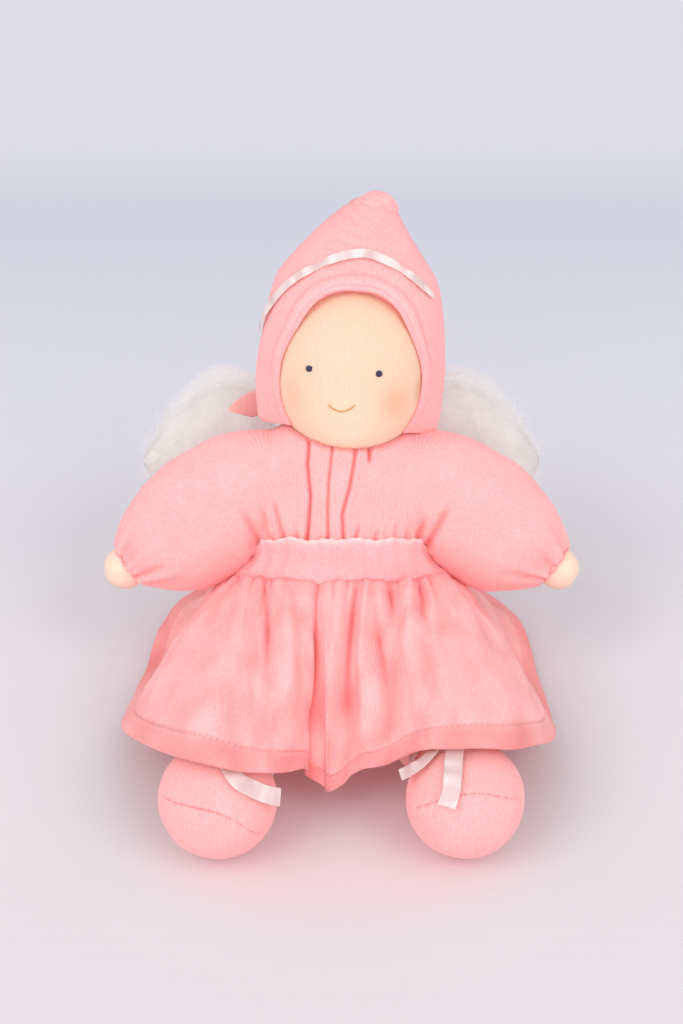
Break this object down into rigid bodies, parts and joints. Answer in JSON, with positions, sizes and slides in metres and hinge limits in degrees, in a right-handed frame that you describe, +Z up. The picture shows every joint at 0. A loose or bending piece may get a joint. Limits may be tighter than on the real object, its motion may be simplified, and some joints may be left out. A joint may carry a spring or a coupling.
{
  "type": "cloth doll",
  "caption": "Soft stuffed cloth doll in a pink velour dress and pointed bonnet with fleece wings, sitting; head, arms, legs, feet and wings move.",
  "frame": {"origin": "middle of the doll's box on the floor plane it sits on", "axes": "+Z up, the doll faces -Y, its own left side is +X"},
  "size_m": [0.208, 0.2248, 0.2011],
  "materials": {
    "velour": "matt cotton velour with a fine short pile",
    "skin": "matt cotton tricot",
    "wool": "matt combed wool",
    "satin": "smooth satin ribbon with a soft sheen",
    "thread": "matt cotton thread",
    "eye_thread": "matt dark embroidery thread",
    "mouth_thread": "matt brown-orange embroidery thread"
  },
  "bodies": {
    "torso": {"torso_cover": "velour", "torso_stuffing": "wool", "waistband": "velour", "skirt": "velour", "wing_tie": "wool"},
    "head": {"head_skin": "skin", "head_wool_core": "wool", "neck_tie": "thread", "eye_left": "eye_thread", "eye_right": "eye_thread", "mouth_stitch": "mouth_thread", "bonnet_shell": "velour", "bonnet_brim": "velour", "bonnet_tip": "velour", "bonnet_ribbon": "satin", "nape_bow": "satin"},
    "arm_left": {"sleeve_left": "velour", "arm_stuffing_left": "wool", "wrist_thread_left": "thread", "hand_skin_left": "skin", "hand_stuffing_left": "wool"},
    "leg_left": {"trouser_leg_left": "velour", "leg_stuffing_left": "wool", "ankle_ribbon_left": "satin", "ankle_bow_left": "satin"},
    "foot_left": {"foot_cover_left": "velour", "foot_stuffing_left": "wool", "foot_seam_left": "thread"},
    "wing_left": {"wing_left": "wool"},
    "arm_right": {"sleeve_right": "velour", "arm_stuffing_right": "wool", "wrist_thread_right": "thread", "hand_skin_right": "skin", "hand_stuffing_right": "wool"},
    "leg_right": {"trouser_leg_right": "velour", "leg_stuffing_right": "wool", "ankle_ribbon_right": "satin", "ankle_bow_right": "satin"},
    "foot_right": {"foot_cover_right": "velour", "foot_stuffing_right": "wool", "foot_seam_right": "thread"},
    "wing_right": {"wing_right": "wool"}
  },
  "joints": [
    {"name": "head_turn", "type": "hinge", "parent": "torso", "child": "head", "pos_m": [0.004, 0.05735, 0.13253], "axis": [0.0698, 0.4216, 0.9041], "range_deg": [-25, 25], "stiffness_Nm_per_rad": 0.08},
    {"name": "arm_left", "type": "hinge", "parent": "torso", "child": "arm_left", "pos_m": [0.04, 0.00438, 0], "axis": [0, -0.4226, -0.9063], "range_deg": [-10, 17], "stiffness_Nm_per_rad": 0.1},
    {"name": "arm_right", "type": "hinge", "parent": "torso", "child": "arm_right", "pos_m": [-0.04, 0.00438, 0], "axis": [0, 0.4226, 0.9063], "range_deg": [-10, 17], "stiffness_Nm_per_rad": 0.1},
    {"name": "leg_left", "type": "hinge", "parent": "torso", "child": "leg_left", "pos_m": [0.024, 0.00238, 0.0245], "axis": [1, 0, 0], "range_deg": [0, 60], "stiffness_Nm_per_rad": 0.15},
    {"name": "leg_right", "type": "hinge", "parent": "torso", "child": "leg_right", "pos_m": [-0.024, 0.00238, 0.0245], "axis": [1, 0, 0], "range_deg": [0, 60], "stiffness_Nm_per_rad": 0.15},
    {"name": "foot_left", "type": "hinge", "parent": "leg_left", "child": "foot_left", "pos_m": [0.048, -0.08932, 0.0226], "axis": [1, 0, 0], "range_deg": [-20, 20], "stiffness_Nm_per_rad": 0.03},
    {"name": "foot_right", "type": "hinge", "parent": "leg_right", "child": "foot_right", "pos_m": [-0.048, -0.08932, 0.0226], "axis": [1, 0, 0], "range_deg": [-20, 20], "stiffness_Nm_per_rad": 0.03},
    {"name": "wing_left", "type": "hinge", "parent": "torso", "child": "wing_left", "pos_m": [0.01635, 0.08001, 0.07286], "axis": [0, 0.4226, 0.9063], "range_deg": [0, 25], "stiffness_Nm_per_rad": 0.04},
    {"name": "wing_right", "type": "hinge", "parent": "torso", "child": "wing_right", "pos_m": [-0.01635, 0.08001, 0.07286], "axis": [0, -0.4226, -0.9063], "range_deg": [0, 25], "stiffness_Nm_per_rad": 0.04}
  ]
}
